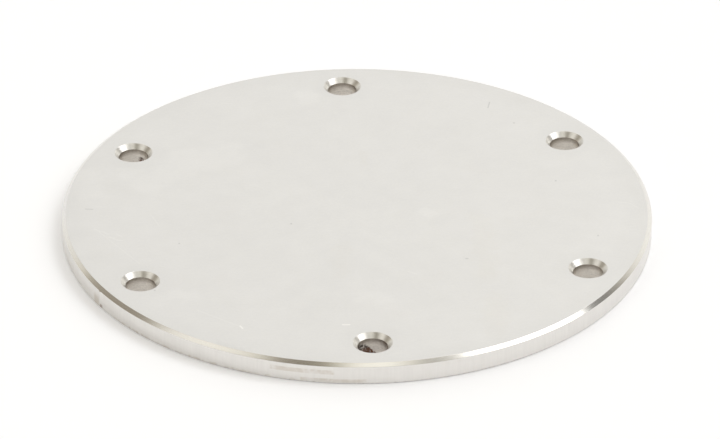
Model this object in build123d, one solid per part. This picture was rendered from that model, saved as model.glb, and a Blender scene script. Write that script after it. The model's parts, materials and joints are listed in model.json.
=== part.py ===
"""Round cover plate in stainless steel: a flat disc cut from plate, with a chamfered rim and a circle of
countersunk bolt holes.

Frame: millimetres, +Z up along the disc's axis. The origin is the centre of the underside, which is the face that
seats on the flange. One bolt hole lies on +Y.
"""

import os
from math import cos, radians, sin, tan

from build123d import *

# Disc
plate_diameter = 220.0
plate_thickness = 8.0

# Chamfer round the top of the rim, shallower than 45 degrees, and the small break along the lower edge
rim_chamfer_width = 1.55
rim_chamfer_depth = 1.0
lower_edge_break = 0.25

# Bolt holes: clearance for M10, evenly spaced on a circle set in from the rim
hole_count = 6
hole_diameter = 11.0
hole_edge_distance = 15.25
first_hole_angle = 90.0

# Countersink at each hole's mouth, and the small break where the hole comes out underneath
countersink_width = 1.7
countersink_angle = 90.0
hole_exit_break = 0.3

# Pip left on the rim where the cut round the disc started and ended
pip_angle = -151.8
pip_height = 0.3
pip_width = 1.3

# How far cutters and the pip's root run past the faces they meet
overrun = 1.0

plate_radius = plate_diameter / 2
hole_radius = hole_diameter / 2
hole_circle_radius = plate_radius - hole_edge_distance
countersink_depth = countersink_width / tan(radians(countersink_angle / 2))


def pip_outline():
    """The pip seen from above: a low crest on the rim, whose foot is buried in the disc."""
    half_foot = pip_width / 2
    foot = plate_radius * cos(half_foot / plate_radius)
    outline = Polyline(
        (foot - overrun, -half_foot),
        (foot, -half_foot),
        (plate_radius + pip_height, 0),
        (foot, half_foot),
        (foot - overrun, half_foot),
        close=True,
    )
    return Rotation(0, 0, pip_angle) * make_face(outline)


def blank():
    """The disc as it leaves the cutting table, with its pip."""
    return extrude(Circle(plate_radius) + pip_outline(), plate_thickness)


def ring_cutter(width, depth, edge_z, away):
    """A conical cutter for a rim edge at edge_z, taking `width` off the face and `depth` off the wall.

    away is +1 at the top face and -1 at the underside. The cone runs on past the rim, so it trims the pip too.
    """
    slope = depth / width
    inner = plate_radius - width
    outer = plate_radius + pip_height + overrun
    profile = Polyline(
        (inner - overrun, 0, edge_z + away * slope * overrun),
        (outer, 0, edge_z + away * slope * overrun),
        (outer, 0, edge_z - away * slope * (outer - inner)),
        close=True,
    )
    return revolve(make_face(profile), Axis.Z)


def hole_cutter():
    """One bolt hole: countersink, straight bore and exit break, turned about the hole's own axis at x = y = 0."""
    flare = tan(radians(countersink_angle / 2))
    profile = Polyline(
        (0, 0, -overrun),
        (hole_radius + hole_exit_break + overrun, 0, -overrun),
        (hole_radius, 0, hole_exit_break),
        (hole_radius, 0, plate_thickness - countersink_depth),
        (hole_radius + countersink_width + overrun * flare, 0, plate_thickness + overrun),
        (0, 0, plate_thickness + overrun),
        close=True,
    )
    return revolve(make_face(profile), Axis.Z)


def hole_centres():
    """Where the bolt holes stand on their circle."""
    step = 360 / hole_count
    angles = [radians(first_hole_angle + step * n) for n in range(hole_count)]
    return [(hole_circle_radius * cos(a), hole_circle_radius * sin(a)) for a in angles]


def cover_plate():
    """The finished plate."""
    plate = blank()
    plate -= ring_cutter(rim_chamfer_width, rim_chamfer_depth, plate_thickness, +1)
    plate -= ring_cutter(lower_edge_break, lower_edge_break, 0, -1)
    for x, y in hole_centres():
        plate -= Pos(x, y, 0) * hole_cutter()
    return plate


os.makedirs("parts", exist_ok=True)
export_step(cover_plate(), "parts/cover_plate.step")
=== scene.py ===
"""Round cover plate in stainless steel, on a pale floor in a soft studio.

The plate's mesh is worked out in millimetres and scaled to metres at the end. Bearings are in degrees in the
part's frame, anticlockwise from +X seen from above, and heights are above the underside.
"""

import json
from math import cos, exp, hypot, pi, radians, sin, tan

import bpy
from mathutils import Matrix, Vector, noise
from mathutils.geometry import delaunay_2d_cdt


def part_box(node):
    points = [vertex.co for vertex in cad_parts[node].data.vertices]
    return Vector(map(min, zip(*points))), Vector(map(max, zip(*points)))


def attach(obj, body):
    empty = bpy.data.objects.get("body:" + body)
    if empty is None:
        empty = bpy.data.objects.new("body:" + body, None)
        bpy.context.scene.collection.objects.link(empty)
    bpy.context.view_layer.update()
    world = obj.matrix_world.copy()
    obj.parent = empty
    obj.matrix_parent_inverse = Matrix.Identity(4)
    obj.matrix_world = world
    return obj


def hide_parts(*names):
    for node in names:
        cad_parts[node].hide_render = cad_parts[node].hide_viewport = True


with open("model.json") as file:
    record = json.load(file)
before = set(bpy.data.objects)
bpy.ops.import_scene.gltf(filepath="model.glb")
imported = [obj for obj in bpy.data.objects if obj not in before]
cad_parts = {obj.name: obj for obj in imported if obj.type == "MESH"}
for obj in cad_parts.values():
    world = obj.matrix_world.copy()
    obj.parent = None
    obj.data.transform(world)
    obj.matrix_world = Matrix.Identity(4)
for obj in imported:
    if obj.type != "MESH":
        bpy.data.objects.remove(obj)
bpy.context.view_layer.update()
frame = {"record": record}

MM = 0.001

# The plate, as its CAD part has it
PLATE = "cover_plate"
low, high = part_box(PLATE)
RADIUS = min(high.x, high.y, -low.x, -low.y) / MM
THICKNESS = (high.z - low.z) / MM
BOLTS = next(m for m in frame["record"]["mounts"] if m["name"] == "bolt_holes")["dims"]
HOLE_RADIUS = BOLTS["hole_r_mm"]
HOLE_CIRCLE = BOLTS["pcd_mm"] / 2
HOLE_PITCH = 360 / BOLTS["count"]
HOLE_BEARINGS = [90 + HOLE_PITCH * n for n in range(BOLTS["count"])]
CHAMFER_WIDTH = 1.55
CHAMFER_DEPTH = 1.0
LOWER_BREAK = 0.25
COUNTERSINK = 1.7
EXIT_BREAK = 0.3
PIP_BEARING = -151.8
PIP_HEIGHT = 0.3
PIP_HALF_ANGLE = 0.34

# Zones of the surface, each with its own finish
FACE, CHAMFER, WALL, SINK, BORE = range(5)

# Mesh
RIM_STEPS = 1680
HOLE_STEPS = 112
ARC_STEPS = 3
FLAT_MARGIN = 0.15

# How far apart the holes lie in the pattern of turning marks, so that no two holes are alike
PATTERN_STEP = 40

# Small pits that the cut left along the foot of the rim: bearing, height and size
PITS = [
    (-168.3, 0.5, 0.35), (-165.2, 0.7, 0.30), (-161.4, 0.8, 0.45), (-158.7, 0.4, 0.35), (-145.3, 0.5, 0.40),
    (-142.2, 0.8, 0.55), (-132.9, 4.9, 0.22), (-129.6, 0.5, 0.40), (-124.3, 0.35, 0.40), (-149.0, 0.4, 0.30),
]
# Stretches of the rim's foot that the cut left ragged
RAGGED = [(-145.5, -130.5), (-124, -109)]


# ---------------------------------------------------------------- profiles

def rounded_profile(corners, runs):
    """Points along a polyline in the (radius, height) plane, with its inner corners rounded.

    corners is [(radius, height, rounding)], and runs is [(steps, zone)] for the straight runs between them.
    Returns [(radius, height, zone of the strip that follows)].
    """
    places = [Vector(c[:2]) for c in corners]
    cuts = [0.0]
    for before, here, after, corner in zip(places, places[1:], places[2:], corners[1:]):
        turn = (here - before).angle(after - here)
        cuts.append(corner[2] * tan(turn / 2))
    cuts.append(0.0)
    points = []
    for n, (steps, zone) in enumerate(runs):
        along = (places[n + 1] - places[n]).normalized()
        start = places[n] + along * cuts[n]
        end = places[n + 1] - along * cuts[n + 1]
        points += [(*start.lerp(end, k / steps), zone) for k in range(steps + 1)]
        if n + 1 < len(runs):
            leave = places[n + 1] + (places[n + 2] - places[n + 1]).normalized() * cuts[n + 1]
            for k in range(1, ARC_STEPS):
                t = k / ARC_STEPS
                bend = end.lerp(places[n + 1], t).lerp(places[n + 1].lerp(leave, t), t)
                points.append((*bend, zone))
    return points


def rim_profile(radius):
    """The rim from the top face round to the underside, where its wall stands at a radius."""
    proud = radius - RADIUS
    chamfer_inner = RADIUS - CHAMFER_WIDTH
    chamfer_foot = THICKNESS - CHAMFER_DEPTH * (1 + proud / CHAMFER_WIDTH)
    lower_inner = RADIUS - LOWER_BREAK
    corners = [
        (chamfer_inner - FLAT_MARGIN, THICKNESS, 0),
        (chamfer_inner, THICKNESS, 0.25),
        (radius, chamfer_foot, 0.12),
        (radius, LOWER_BREAK + proud, 0.1),
        (lower_inner, 0, 0.1),
        (lower_inner - FLAT_MARGIN, 0, 0),
    ]
    return rounded_profile(corners, [(1, FACE), (2, CHAMFER), (17, WALL), (2, WALL), (1, FACE)])


def hole_profile():
    """A bolt hole from the top face down to the underside."""
    mouth = HOLE_RADIUS + COUNTERSINK
    outlet = HOLE_RADIUS + EXIT_BREAK
    corners = [
        (mouth + FLAT_MARGIN, THICKNESS, 0),
        (mouth, THICKNESS, 0.12),
        (HOLE_RADIUS, THICKNESS - COUNTERSINK, 0.12),
        (HOLE_RADIUS, EXIT_BREAK, 0.08),
        (outlet, 0, 0.08),
        (outlet + FLAT_MARGIN, 0, 0),
    ]
    return rounded_profile(corners, [(1, FACE), (12, SINK), (18, BORE), (1, BORE), (1, FACE)])


# ---------------------------------------------------------------- surface form

def smooth(value, start, end):
    """0 before start and 1 after end, with a smooth rise between."""
    t = min(1.0, max(0.0, (value - start) / (end - start)))
    return t * t * (3 - 2 * t)


def pip_height(bearing):
    """How far the pip stands out from the rim at a bearing."""
    return PIP_HEIGHT * max(0.0, 1 - abs(bearing - PIP_BEARING) / PIP_HALF_ANGLE)


def pit_depth(bearing, height):
    """The depth of the pits at a place on the rim."""
    depth = 0.0
    for pit_bearing, pit_height, size in PITS:
        reach = hypot(radians(bearing - pit_bearing) * RADIUS, (height - pit_height) * 0.8)
        if reach < 2.5 * size:
            depth = max(depth, 0.6 * size * exp(-((reach / size) ** 2)))
    return depth


def ragged_depth(bearing, height):
    """How far the ragged foot of the rim is eaten in."""
    share = max(smooth(bearing, a - 1.5, a + 1.5) * smooth(-bearing, -b - 1.5, -b + 1.5) for a, b in RAGGED)
    if share == 0 or height > 1.6:
        return 0.0
    place = Vector((radians(bearing) * RADIUS * 1.3, height * 1.6, 3))
    bite = max(0.0, noise.noise(place) + 0.25 * noise.noise(place * 2.7))
    return 0.34 * share * bite * smooth(-height, -1.5, -0.5)


def wall_offset(bearing, height):
    """How far the cut wall lies in: upright cut marks, slow waves, pits and the ragged foot."""
    around = radians(bearing)
    ring = Vector((cos(around), sin(around), 0)) * RADIUS
    marks = noise.noise(Vector((ring.x * 0.8, ring.y * 0.8, height * 0.07)))
    waves = noise.noise(Vector((ring.x * 0.12, ring.y * 0.12, height * 0.2)))
    cut = 0.012 * (1 + marks) + 0.015 * (1 + waves)
    return -max(cut, pit_depth(bearing, height), ragged_depth(bearing, height))


def sink_offset(angle, depth, hole):
    """The countersink's turning marks and the slight waver of its cutter, in its radius."""
    seat = 17.0 * hole
    waver = noise.noise(Vector((cos(angle) * 2.2, sin(angle) * 2.2, depth * 0.9 + seat)))
    mark = noise.noise(Vector((cos(angle) * 0.6, sin(angle) * 0.6, depth * 5.0 + seat)))
    return 0.020 * waver + 0.012 * mark


def bore_offset(angle, depth, hole):
    """The drill's marks down the bore, which are rougher than the countersink's."""
    seat = 17.0 * hole + 5
    ridge = noise.noise(Vector((cos(angle) * 1.2, sin(angle) * 1.2, depth * 2.6 + seat)))
    rough = noise.noise(Vector((cos(angle) * 5, sin(angle) * 5, depth * 1.6 + seat)))
    return 0.035 * ridge + 0.030 * rough


# ---------------------------------------------------------------- mesh

class Mesh:
    """Points, faces and what each of them carries, gathered before one Blender mesh is made."""

    def __init__(self):
        self.points = []
        self.turned = []
        self.faces = []
        self.zones = []

    def ring(self, places, turned):
        """Adds a closed ring of points, and returns their numbers."""
        first = len(self.points)
        self.points += places
        self.turned += turned
        return list(range(first, len(self.points)))

    def strips(self, rings, zones, outward):
        """Joins rings of equal length by bands of quads."""
        for ring, following, zone in zip(rings, rings[1:], zones):
            for n in range(len(ring)):
                m = (n + 1) % len(ring)
                quad = (ring[n], following[n], following[m], ring[m])
                self.faces.append(quad if outward else quad[::-1])
                self.zones.append(zone)

    def flat(self, outer, holes, upward):
        """Fills the flat face between an outer ring and the holes' rings."""
        loops = [outer, *holes]
        numbers = [v for loop in loops for v in loop]
        owner = {v: n for n, loop in enumerate(loops) for v in loop}
        flat_points = [Vector(self.points[v][:2]) for v in numbers]
        edges, first = [], 0
        for loop in loops:
            edges += [(first + n, first + (n + 1) % len(loop)) for n in range(len(loop))]
            first += len(loop)
        _, _, triangles, sources, _, _ = delaunay_2d_cdt(flat_points, edges, [], 1, 1e-6)
        for triangle in triangles:
            corners = [numbers[sources[v][0]] for v in triangle]
            owners = {owner[v] for v in corners}
            if len(owners) == 1 and owners != {0}:
                continue
            self.faces.append(tuple(corners) if upward else tuple(reversed(corners)))
            self.zones.append(FACE)


def hole_centre(bearing):
    """Where the bolt hole at a bearing has its axis."""
    return HOLE_CIRCLE * cos(radians(bearing)), HOLE_CIRCLE * sin(radians(bearing))


def build_rim(mesh):
    """The rim's bands. Returns the ring on the top face and the ring on the underside."""
    bearings = [360 * n / RIM_STEPS - 180 for n in range(RIM_STEPS)]
    profiles = [rim_profile(RADIUS + pip_height(b)) for b in bearings]
    zones = [zone for _, _, zone in profiles[0]]
    rings = []
    for row in range(len(zones)):
        places, turned = [], []
        for bearing, profile in zip(bearings, profiles):
            radius, height, zone = profile[row]
            if zone == WALL:
                foot = profile[zones.index(WALL)][1]
                fade = smooth(foot - height, 0, 0.5) * smooth(height, 0, 0.25)
                radius += fade * wall_offset(bearing, height)
            a = radians(bearing)
            places.append((radius * cos(a), radius * sin(a), height))
            turned.append((cos(a), sin(a), RADIUS - radius + THICKNESS - height))
        rings.append(mesh.ring(places, turned))
    mesh.strips(rings, zones, outward=True)
    return rings[0], rings[-1]


def build_hole(mesh, hole):
    """One bolt hole's bands. Returns its ring on the top face and its ring on the underside."""
    x, y = hole_centre(HOLE_BEARINGS[hole])
    profile = hole_profile()
    mouth = profile[0][0]
    angles = [2 * pi * n / HOLE_STEPS for n in range(HOLE_STEPS)]
    rings = []
    for radius, height, zone in profile:
        depth = THICKNESS - height
        places, turned = [], []
        for a in angles:
            r = radius
            if zone == SINK:
                r += sink_offset(a, depth, hole) * smooth(depth, 0, 0.3) * smooth(-depth, -COUNTERSINK, -1.4)
            elif zone == BORE:
                r += bore_offset(a, depth, hole) * smooth(depth, COUNTERSINK, 2.2) * smooth(height, 0.2, 0.8)
            places.append((x + r * cos(a), y + r * sin(a), height))
            turned.append((cos(a), sin(a), mouth - radius + depth + PATTERN_STEP * (hole + 1)))
        rings.append(mesh.ring(places, turned))
    mesh.strips(rings, [zone for _, _, zone in profile], outward=False)
    return rings[0], rings[-1]


def make_plate(finishes):
    """The plate as one closed mesh, with a finish for each zone.

    Its attribute "turned" holds the bearing about the surface's own axis, as a unit vector, and the distance
    down the surface in millimetres, which its turning marks follow.
    """
    mesh = Mesh()
    rim_top, rim_bottom = build_rim(mesh)
    hole_rings = [build_hole(mesh, hole) for hole in range(len(HOLE_BEARINGS))]
    mesh.flat(rim_top, [top for top, _ in hole_rings], upward=True)
    mesh.flat(rim_bottom, [bottom for _, bottom in hole_rings], upward=False)
    data = bpy.data.meshes.new("plate")
    data.from_pydata([Vector(p) * MM for p in mesh.points], [], mesh.faces)
    for finish in finishes:
        data.materials.append(finish)
    data.polygons.foreach_set("material_index", mesh.zones)
    data.polygons.foreach_set("use_smooth", [True] * len(mesh.faces))
    turned = data.attributes.new("turned", "FLOAT_VECTOR", "POINT")
    turned.data.foreach_set("vector", [c for v in mesh.turned for c in v])
    data.update()
    plate = bpy.data.objects.new("plate", data)
    bpy.context.collection.objects.link(plate)
    return plate


# ---------------------------------------------------------------- nodes

class Tree:
    """Short calls for building a node tree."""

    def __init__(self, owner):
        owner.use_nodes = True
        self.nodes = owner.node_tree.nodes
        self.links = owner.node_tree.links
        self.nodes.clear()

    def feed(self, socket, value):
        """Sets a socket to a number or colour, or links another socket to it."""
        if isinstance(value, bpy.types.NodeSocket):
            self.links.new(value, socket)
        elif value is not None:
            socket.default_value = value

    def add(self, kind, inputs=(), **settings):
        """Adds a node. inputs maps a socket's name or number to its value."""
        node = self.nodes.new("ShaderNode" + kind)
        for key, value in settings.items():
            setattr(node, key, value)
        for key, value in dict(inputs).items():
            self.feed(node.inputs[key], value)
        return node

    def math(self, operation, a, b=None, c=None, clamp=False):
        """A Math node's result."""
        return self.add("Math", {0: a, 1: b, 2: c}, operation=operation, use_clamp=clamp).outputs[0]

    def vector(self, operation, a, b=None, scale=None):
        """A Vector Math node's result, as a vector or a number as the operation gives."""
        node = self.add("VectorMath", {0: a, 1: b, 3: scale}, operation=operation)
        number = operation in ("DOT_PRODUCT", "LENGTH", "DISTANCE")
        return node.outputs["Value" if number else "Vector"]

    def mix(self, share, a, b):
        """A blend of two colours."""
        return self.add("Mix", {0: share, 6: a, 7: b}, data_type="RGBA").outputs[2]

    def span(self, value, low, high, to_low=0.0, to_high=1.0):
        """A value taken from one range to another, smoothly, and held at its ends."""
        inputs = {0: value, 1: low, 2: high, 3: to_low, 4: to_high}
        return self.add("MapRange", inputs, interpolation_type="SMOOTHSTEP").outputs[0]

    def noise(self, where, scale, detail=2.0, roughness=0.5):
        """Noise about a place, from about -1 to 1."""
        inputs = {"Vector": where, "Scale": scale, "Detail": detail, "Roughness": roughness}
        found = self.add("TexNoise", inputs).outputs[0]
        return self.math("MULTIPLY_ADD", found, 4.0, -2.0)

    def total(self, *terms):
        """1 and a sum of (amount, value) terms."""
        result = 1.0
        for amount, value in terms:
            result = self.math("MULTIPLY_ADD", value, amount, result)
        return result

    def window(self, value, start, end, soft):
        """1 while a value lies between start and end, falling to 0 over `soft` outside them."""
        rise = self.span(value, start - soft, start)
        fall = self.span(value, end, end + soft, 1.0, 0.0)
        return self.math("MULTIPLY", rise, fall)

    def most(self, values):
        """The greatest of several values."""
        result = values[0]
        for value in values[1:]:
            result = self.math("MAXIMUM", result, value)
        return result

    def stroke(self, where, start, end, half_width, soft):
        """1 on a straight stroke between two points of the flat face, falling to 0 over `soft` beside it."""
        a, b = Vector((*start, 0)), Vector((*end, 0))
        span = b - a
        offset = self.vector("SUBTRACT", where, a)
        along = self.vector("DOT_PRODUCT", offset, span / span.length_squared)
        along = self.math("ADD", along, 0.0, clamp=True)
        distance = self.vector("DISTANCE", offset, self.vector("SCALE", span, scale=along))
        return self.span(distance, half_width, half_width + soft, 1.0, 0.0)

    def strokes(self, where, marks):
        """The mask of several strokes."""
        return self.most([self.stroke(where, *mark) for mark in marks])


def place_in_mm(tree):
    """The shaded point in the part's frame, in millimetres."""
    return tree.vector("SCALE", tree.add("TexCoord").outputs["Object"], scale=1 / MM)


def upright(tree):
    """The direction across turning marks that run round an upright axis."""
    return tree.add("CombineXYZ", {2: 1.0}).outputs[0]


def turned_marks(tree, around, down):
    """Fine marks that run round a turned surface. `around` is how fast they change along their length."""
    where = tree.add("Attribute", attribute_name="turned").outputs["Vector"]
    return tree.noise(tree.vector("MULTIPLY", where, (around, around, down)), 1.0)


def metal(tree, colour, roughness, relief, anisotropy=0.0, across=None, metallic=1.0):
    """The shader that every finish ends in.

    relief is (height, millimetres of it). across is the direction in which the surface is rougher.
    """
    height, depth = relief
    bump = tree.add("Bump", {"Height": height, "Distance": depth * MM, "Strength": 1.0})
    inputs = {"Base Color": colour, "Metallic": metallic, "Roughness": roughness, "Anisotropic": anisotropy,
              "Normal": bump.outputs[0]}
    shader = tree.add("BsdfPrincipled", inputs)
    if across is not None:
        tree.feed(shader.inputs["Tangent"], across)
    out = tree.add("OutputMaterial")
    tree.feed(out.inputs[0], shader.outputs[0])


# ---------------------------------------------------------------- finishes

FACE_STEEL = (0.777, 0.762, 0.725)
TURNED_STEEL = (0.777, 0.762, 0.725)
WALL_STEEL = (0.793, 0.776, 0.750)
BORE_STEEL = (0.80, 0.765, 0.715)
# A dark grey-brown, painted as shade high in the bores and as shade over a dirty edge along the rim's foot
SHADE_AND_DIRT = (0.30, 0.26, 0.22, 1)
RESIDUE = (0.56, 0.50, 0.42, 1)
RUST = (0.16, 0.065, 0.03, 1)
BLACK_RUST = (0.03, 0.02, 0.014, 1)

# The bearings of the holes that have rust in their bores
RUSTY_FRONT_HOLE = 270
RUSTY_BACK_HOLE = 150

# Marks on the top face, each a stroke between two points, in millimetres: start, end, half width and softness
WIPES = [
    ((-78, 23), (-60, 38), 3.0, 6.0), ((-62, 40), (-49, 43), 5.5, 6.0), ((-50, 48), (-41, 51), 1.0, 3.0),
    ((-14, 87), (-14, 86), 2.5, 4.0), ((-101, 31), (-99, 18), 2.0, 7.0), ((-84, 32), (-84, 31), 1.5, 5.0),
    ((-69, -58), (-64, -59), 1.5, 4.0), ((24, -3), (27, -5), 0.8, 2.5), ((-1, -64), (4, -65), 1.5, 5.0),
]
SMUDGES = [
    ((-7, -28), (-9, -46), 1.5, 5.0), ((45, -9), (45, -49), 1.0, 6.0), ((46, -68), (45, -91), 1.5, 6.0),
    ((4, 43), (5, 35), 0.4, 2.0),
]
SMEAR = ((-55, -92), (-48, -98), 0.6, 1.8)
SCRATCHES = [
    ((-97, -10), (-82, -35), 0.05, 0.3), ((-77, 1), (-74, -8), 0.05, 0.3),
    ((-62, -69), (-46, -82), 0.05, 0.3), ((98, 0), (102, -1), 0.05, 0.3),
    ((102, -1), (105, -5), 0.05, 0.3), ((-47, 84), (-43, 83), 0.05, 0.3),
    ((-98, -9), (-96, -11), 0.15, 0.5), ((-95, -11), (-93, -13), 0.15, 0.5),
    ((-93, -15), (-91, -16), 0.2, 0.6), ((-91, -17), (-88, -18), 0.15, 0.5),
    ((-90, -13), (-88, -15), 0.1, 0.4), ((16, -46), (19, -48), 0.05, 0.4),
]
DASHES = [((-47, -80.7), (-46.2, -82.6), 0.12, 0.35), ((-10, -82), (-7.6, -82.1), 0.22, 0.3)]
DARK_MARKS = [
    ((-101, 6), (-98.5, 5.6), 0.10, 0.35), ((56, 79), (55, 74.5), 0.08, 0.35),
    ((64, 62), (64, 62.3), 0.15, 0.4), ((-25, -9), (-25, -9.3), 0.15, 0.4),
    ((76, 17), (76, 17.3), 0.15, 0.4), ((88, -24), (88, -24.3), 0.15, 0.4),
    ((38, -38), (38.4, -38), 0.15, 0.5), ((-67, -21), (-67, -21.3), 0.12, 0.4),
    ((-77, -54), (-77, -54.3), 0.1, 0.4),
]


def edge_closeness(tree, place):
    """0 over most of the flat face, rising to 1 at the rim and at the bolt holes' mouths."""
    axes = tree.add("SeparateXYZ", {0: place}).outputs
    reach = tree.vector("LENGTH", place)
    angle = tree.math("SUBTRACT", tree.math("ARCTAN2", axes[1], axes[0]), radians(HOLE_BEARINGS[0]))
    half_pitch = radians(HOLE_PITCH) / 2
    folded = tree.math("WRAP", angle, half_pitch, -half_pitch)
    x = tree.math("MULTIPLY", reach, tree.math("COSINE", folded))
    y = tree.math("MULTIPLY", reach, tree.math("SINE", folded))
    spot = tree.add("CombineXYZ", {0: x, 1: y}).outputs[0]
    near_hole = tree.span(tree.vector("DISTANCE", spot, (HOLE_CIRCLE, 0, 0)), 7.0, 15.0, 1.0, 0.0)
    return tree.math("MAXIMUM", near_hole, tree.span(reach, 97.0, 109.0))


def hairlines(tree, place):
    """Sparse fine scratches in several directions."""
    layers = []
    for angle, seat in ((20, 3), (75, 11), (118, 23), (160, 37)):
        inputs = {"Vector": place, "Rotation": (0, 0, radians(angle)), "Location": (seat, seat, seat),
                  "Scale": (0.06, 2.4, 1)}
        turned = tree.add("Mapping", inputs).outputs[0]
        layers.append(tree.span(tree.noise(turned, 1.0, 1.0), 0.75, 1.1))
    return tree.most(layers)


def satin_face():
    """The flat faces: satin steel with faint clouding, wipe marks, smudges and scratches, and a painted light
    gradient that makes them lighter towards +X.
    """
    material = bpy.data.materials.new("satin_face")
    tree = Tree(material)
    place = tree.vector("MULTIPLY", place_in_mm(tree), (1, 1, 0))
    swirl = tree.add("TexNoise", {"Vector": place, "Scale": 0.25, "Detail": 3.0}).outputs[1]
    swirl = tree.vector("MULTIPLY", tree.vector("SUBTRACT", swirl, (0.5, 0.5, 0.5)), (9, 9, 0))
    bent = tree.vector("ADD", place, swirl)
    smudge = tree.strokes(bent, SMUDGES)
    tone = tree.total(
        (0.014, tree.noise(place, 0.030, 3.0, 0.6)),
        (0.016, tree.noise(place, 0.11, 4.0, 0.6)),
        (0.016, tree.noise(place, 0.9, 2.0, 0.7)),
        # Painted light: the face grows lighter towards +X, the side where more light falls.
        (0.00017, tree.add("SeparateXYZ", {0: place}).outputs[0]),
        (-0.022, edge_closeness(tree, place)),
        (0.024, tree.strokes(bent, WIPES)),
        (-0.009, smudge),
        (-0.035, tree.strokes(bent, [SMEAR])),
        (0.035, tree.strokes(place, SCRATCHES)),
        (0.16, tree.strokes(place, DASHES)),
        (-0.17, tree.strokes(place, DARK_MARKS)),
        (0.014, hairlines(tree, place)),
    )
    freckle = tree.math("MULTIPLY", tree.noise(place, 0.35, 4.0, 0.7), 0.35)
    blush = tree.math("MULTIPLY_ADD", smudge, 0.6, freckle)
    warmth = tree.math("MULTIPLY_ADD", tree.noise(place, 0.05, 3.0, 0.6), 0.3, blush, clamp=True)
    colour = tree.mix(warmth, (*FACE_STEEL, 1), (0.780, 0.760, 0.712, 1))
    roughness = tree.math("MULTIPLY_ADD", tree.noise(place, 0.08, 4.0, 0.6), 0.015, 0.32)
    metal(tree, tree.vector("SCALE", colour, scale=tone), roughness, (tree.noise(place, 3.0), 0.0008))
    return material


def turned_chamfer():
    """The rim's chamfer: bright turned steel with fine marks round it."""
    material = bpy.data.materials.new("turned_chamfer")
    tree = Tree(material)
    cloud = tree.noise(place_in_mm(tree), 0.15, 3.0)
    tone = tree.total((0.012, turned_marks(tree, 3.0, 5.0)), (0.006, cloud))
    colour = tree.vector("SCALE", TURNED_STEEL, scale=tone)
    metal(tree, colour, 0.22, (turned_marks(tree, 4.0, 9.0), 0.001), 0.9, upright(tree))
    return material


def countersink():
    """The countersinks: turned steel with rings and the cutter's slight chatter."""
    material = bpy.data.materials.new("countersink")
    tree = Tree(material)
    tone = tree.total((0.06, turned_marks(tree, 0.8, 5.0)), (0.05, turned_marks(tree, 9.0, 0.6)))
    colour = tree.vector("SCALE", TURNED_STEEL, scale=tone)
    metal(tree, colour, 0.36, (turned_marks(tree, 0.7, 6.0), 0.006), 0.6, upright(tree))
    return material


def wall_stains(tree, place):
    """The masks of the tan residue on the rim's wall, the rust by the pip, and the dark band along the foot,
    which is painted contact shade over a dirty edge.
    """
    axes = tree.add("SeparateXYZ", {0: place}).outputs
    bearing = tree.math("DEGREES", tree.math("ARCTAN2", axes[1], axes[0]))
    height = axes[2]

    def patch(bearings, heights, soft, rise):
        """A patch between two bearings and two heights, and how softly it ends along and up the wall."""
        along = tree.window(bearing, *bearings, soft)
        return tree.math("MULTIPLY", along, tree.window(height, *heights, rise))

    upper = patch((-109.6, -98.0), (3.9, 5.2), 0.5, 0.4)
    lower = patch((-103.8, -91.9), (0.8, 1.7), 0.5, 0.4)
    blotch = tree.span(tree.noise(place, 0.28, 4.0, 0.6), -0.9, 0.5)
    rows = tree.math("MULTIPLY", tree.math("MAXIMUM", upper, lower), blotch)
    foot = patch((-145, -106), (0.0, 0.9), 3.0, 0.5)
    foot = tree.math("MULTIPLY", foot, tree.span(tree.noise(place, 0.5, 3.0), -0.5, 0.9))
    drip = patch((-154.0, -152.6), (0, 2.6), 0.5, 2.8)
    residue = tree.most([tree.math("MULTIPLY", rows, 0.5), tree.math("MULTIPLY", foot, 0.6),
                         tree.math("MULTIPLY", drip, 0.5)])
    rust = patch((-151.7, -151.2), (0.6, 1.4), 0.3, 0.6)
    # Painted shade over a dirty edge: darker within about 0.4 mm of the underside, all round the rim.
    speck = tree.math("MULTIPLY_ADD", tree.noise(place, 1.6, 3.0), 0.3, height)
    foot_shade_and_dirt = tree.span(speck, 0.0, 0.42, 0.75, 0.0)
    return residue, rust, foot_shade_and_dirt


def cut_rim():
    """The rim's wall as it was cut: upright marks, tan residue, a stained pip and a ragged foot, darkened along
    its lowest edge by painted shade over dirty pits.
    """
    material = bpy.data.materials.new("cut_rim")
    tree = Tree(material)
    place = place_in_mm(tree)
    streaks = tree.vector("MULTIPLY", place, (1, 1, 0.06))
    tone = tree.total(
        (0.022, tree.noise(streaks, 1.1)),
        (0.010, tree.noise(streaks, 0.2, 3.0)),
        (0.012, tree.noise(place, 0.3, 4.0, 0.6)),
    )
    residue, rust, foot_shade_and_dirt = wall_stains(tree, place)
    colour = tree.vector("SCALE", WALL_STEEL, scale=tone)
    colour = tree.mix(residue, colour, RESIDUE)
    colour = tree.mix(tree.math("MULTIPLY", rust, 0.5), colour, RUST)
    # Painted contact shade, with grime, along the foot.
    colour = tree.mix(foot_shade_and_dirt, colour, SHADE_AND_DIRT)
    round_axis = tree.add("Tangent", direction_type="RADIAL", axis="Z").outputs[0]
    metal(tree, colour, 0.35, (tree.noise(streaks, 2.2), 0.005), 0.4, round_axis)
    return material


def bore_rust(tree, place, axes, mottle):
    """Where the bores are rusty: one side of the front hole, and a spot low in the hole at the back left."""
    x, y = hole_centre(RUSTY_FRONT_HOLE)
    across = tree.math("SUBTRACT", axes[0], x - HOLE_RADIUS)
    edge = tree.math("MULTIPLY_ADD", across, -0.8, 6.2)
    edge = tree.math("ADD", tree.math("SUBTRACT", edge, axes[2]), mottle)
    front = tree.math("MULTIPLY", tree.span(edge, -0.4, 0.4), tree.span(axes[1], y + 9, y + 10, 1.0, 0.0))
    x, y = hole_centre(RUSTY_BACK_HOLE)
    spot = tree.vector("DISTANCE", place, (x + 3.1, y + 4.5, 2.0))
    spot = tree.math("MULTIPLY_ADD", mottle, 0.5, spot)
    return tree.math("MAXIMUM", front, tree.span(spot, 0.7, 1.5, 1.0, 0.0))


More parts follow.
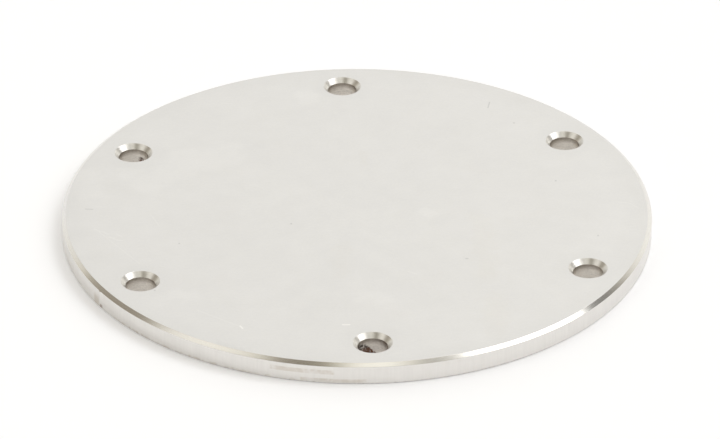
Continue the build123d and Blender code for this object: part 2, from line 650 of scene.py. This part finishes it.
def bore():
    """The bores: drilled steel, with painted shade making them grey-brown and darker near the top, and rusty in
    two of the holes.
    """
    material = bpy.data.materials.new("bore")
    tree = Tree(material)
    place = place_in_mm(tree)
    axes = tree.add("SeparateXYZ", {0: place}).outputs
    rings = turned_marks(tree, 1.2, 2.4)
    mottle = tree.noise(place, 1.1, 4.0, 0.65)
    grain = tree.noise(tree.vector("MULTIPLY", place, (1, 1, 1.8)), 2.2, 3.0, 0.7)
    colour = tree.vector("SCALE", BORE_STEEL, scale=tree.total((0.12, rings), (0.10, mottle), (0.20, grain)))
    # Painted shade: the bore wall darkens towards its top, under the countersink.
    shade = tree.math("MULTIPLY_ADD", mottle, 0.25, tree.span(axes[2], 3.4, 6.3))
    colour = tree.mix(tree.math("MULTIPLY", shade, 0.85, clamp=True), colour, SHADE_AND_DIRT)
    rust = bore_rust(tree, place, axes, mottle)
    rust = tree.math("MULTIPLY", rust, tree.span(tree.noise(place, 1.9, 3.0), -0.55, -0.1))
    rust_colour = tree.mix(tree.span(axes[2], 1.6, 3.6), RUST, BLACK_RUST)
    colour = tree.mix(rust, colour, rust_colour)
    bare = tree.math("SUBTRACT", 1.0, rust)
    metal(tree, colour, 0.42, (rings, 0.02), 0.4, upright(tree), bare)
    return material


# ---------------------------------------------------------------- studio

# The point on the sky dome that the flat top face shows the camera, and the bands of light that fan out from it,
# by bearing. The dome is worked on as a disc: the horizontal part of each direction.
GLARE_AZIMUTH = 86.48
GLARE_ELEVATION = 30.3
SKY_BANDS = [
    (-180, (1.01, 1.00, 0.98)),
    (-174, (0.97, 0.96, 0.93)),
    (-166, (0.91, 0.89, 0.83)),
    (-160.5, (0.79, 0.75, 0.66)),
    (-157, (0.44, 0.40, 0.33)),
    (-152, (0.37, 0.33, 0.27)),
    (-145, (0.36, 0.32, 0.26)),
    (-139.5, (0.36, 0.32, 0.26)),
    (-135.5, (0.76, 0.73, 0.66)),
    (-132, (1.02, 0.99, 0.93)),
    (-124, (1.11, 1.08, 1.00)),
    (-117, (1.03, 1.00, 0.92)),
    (-112.5, (0.84, 0.81, 0.72)),
    (-109, (0.40, 0.36, 0.30)),
    (-105, (0.29, 0.26, 0.21)),
    (-100, (0.35, 0.32, 0.25)),
    (-97, (0.76, 0.72, 0.62)),
    (-93.5, (1.18, 1.15, 1.06)),
    (-87, (1.24, 1.22, 1.13)),
    (-83, (0.92, 0.89, 0.81)),
    (-79, (0.50, 0.48, 0.44)),
    (-75.5, (0.75, 0.73, 0.69)),
    (-46, (0.85, 0.83, 0.80)),
    (-42.5, (0.20, 0.20, 0.19)),
    (-36, (0.26, 0.25, 0.24)),
    (-31.5, (0.44, 0.41, 0.36)),
    (-26, (0.85, 0.82, 0.76)),
    (-21, (1.03, 1.01, 0.96)),
    (-14, (1.09, 1.08, 1.03)),
    (-4, (1.09, 1.08, 1.06)),
    (36, (1.0, 1.0, 1.0)),
]
BAND_PEAK = 1.25
KEY_LIGHT = 2.0
FRONT_LIGHT = 0.45

# The floor: its half width in metres, how far it lies under the plate in millimetres, and its finish
FLOOR_REACH = 4.0
FLOOR_GAP = 0.15
FLOOR_COLOUR = (0.878, 0.884, 0.91, 1)
FLOOR_GLOW = 0.22


def sky_bands(tree, bearing):
    """The colour of the sky by its bearing about the glare point."""
    along = tree.add("MapRange", {0: bearing, 1: -pi, 2: pi, 3: 0.0, 4: 1.0}).outputs[0]
    ramp = tree.add("ValToRGB", {0: along})
    stops = ramp.color_ramp.elements
    while len(stops) > 1:
        stops.remove(stops[-1])
    for n, (angle, colour) in enumerate(SKY_BANDS):
        place = (angle + 180) / 360
        stop = stops[0] if n == 0 else stops.new(place)
        stop.position = place
        stop.color = (*[c / BAND_PEAK for c in colour], 1)
    return tree.vector("SCALE", ramp.outputs[0], scale=BAND_PEAK)


def add_sky():
    """White all round the horizon, with soft panels and darker gaps overhead."""
    world = bpy.data.worlds.new("studio")
    bpy.context.scene.world = world
    tree = Tree(world)
    spread = cos(radians(GLARE_ELEVATION))
    glare = (spread * cos(radians(GLARE_AZIMUTH)), spread * sin(radians(GLARE_AZIMUTH)), 0)
    offset = tree.vector("SUBTRACT", tree.add("TexCoord").outputs["Generated"], glare)
    offset = tree.vector("MULTIPLY", offset, (1, 1, 0))
    axes = tree.add("SeparateXYZ", {0: offset}).outputs
    bearing = tree.math("ARCTAN2", axes[1], axes[0])
    away = tree.vector("LENGTH", offset)
    colour = tree.mix(tree.span(away, 0.25, 0.45), (1, 1, 1, 1), sky_bands(tree, bearing))
    colour = tree.vector("SCALE", colour, scale=tree.span(away, 1.4, 1.6, 1.0, FRONT_LIGHT))
    key = tree.math("MULTIPLY", tree.window(bearing, radians(-69.3), radians(-46), radians(4.5)),
                    tree.window(away, 0.6, 1.15, 0.25))
    key = tree.math("MULTIPLY", key, KEY_LIGHT)
    colour = tree.vector("ADD", colour, tree.add("CombineXYZ", {0: key, 1: key, 2: key}).outputs[0])
    seen = tree.add("LightPath").outputs["Is Camera Ray"]
    colour = tree.mix(seen, colour, (1, 1, 1, 1))
    background = tree.add("Background", {"Color": colour, "Strength": 1.0})
    out = tree.add("OutputWorld")
    tree.feed(out.inputs[0], background.outputs[0])


def add_floor():
    """A plain pale floor just under the plate. From below it is clear, so the underside can be seen."""
    reach = FLOOR_REACH
    corners = [(-reach, -reach, 0), (reach, -reach, 0), (reach, reach, 0), (-reach, reach, 0)]
    data = bpy.data.meshes.new("floor")
    data.from_pydata(corners, [], [(0, 1, 2, 3)])
    floor = bpy.data.objects.new("floor", data)
    floor.location.z = low.z - FLOOR_GAP * MM
    bpy.context.collection.objects.link(floor)
    material = bpy.data.materials.new("floor")
    tree = Tree(material)
    lit = tree.add("BsdfDiffuse", {"Color": FLOOR_COLOUR})
    glow = tree.add("Emission", {"Color": (1, 1, 1, 1), "Strength": FLOOR_GLOW})
    bright = tree.add("AddShader", {0: lit.outputs[0], 1: glow.outputs[0]})
    path = tree.add("LightPath").outputs
    seen = tree.math("MAXIMUM", path["Is Camera Ray"], path["Is Glossy Ray"])
    top = tree.add("MixShader", {0: seen, 1: lit.outputs[0], 2: bright.outputs[0]})
    below = tree.add("NewGeometry").outputs["Backfacing"]
    clear = tree.add("BsdfTransparent")
    both = tree.add("MixShader", {0: below, 1: top.outputs[0], 2: clear.outputs[0]})
    out = tree.add("OutputMaterial")
    tree.feed(out.inputs[0], both.outputs[0])
    data.materials.append(material)


def add_camera():
    """A long lens looking down on the plate from the front, nearly at the middle of its top face."""
    bearing, elevation, distance = radians(-93.52), radians(30.295), 2.1353
    pan, tilt, roll = radians(-0.031), radians(-0.101), radians(-0.145)
    away = Vector((cos(elevation) * cos(bearing), cos(elevation) * sin(bearing), sin(elevation)))
    data = bpy.data.cameras.new("camera")
    data.sensor_width = 36
    data.lens = 286.2
    camera = bpy.data.objects.new("camera", data)
    bpy.context.collection.objects.link(camera)
    middle = Vector(((low.x + high.x) / 2, (low.y + high.y) / 2, high.z))
    aim = (-away).to_track_quat("-Z", "Y").to_matrix()
    fine = Matrix.Rotation(pan, 3, "Y") @ Matrix.Rotation(tilt, 3, "X") @ Matrix.Rotation(-roll, 3, "Z")
    camera.matrix_world = Matrix.Translation(middle + away * distance) @ (aim @ fine).to_4x4()
    bpy.context.scene.camera = camera


add_camera()
add_sky()
add_floor()
plate = make_plate([satin_face(), turned_chamfer(), cut_rim(), countersink(), bore()])
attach(plate, "root")
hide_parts(PLATE)
bpy.context.scene.view_settings.view_transform = "Standard"
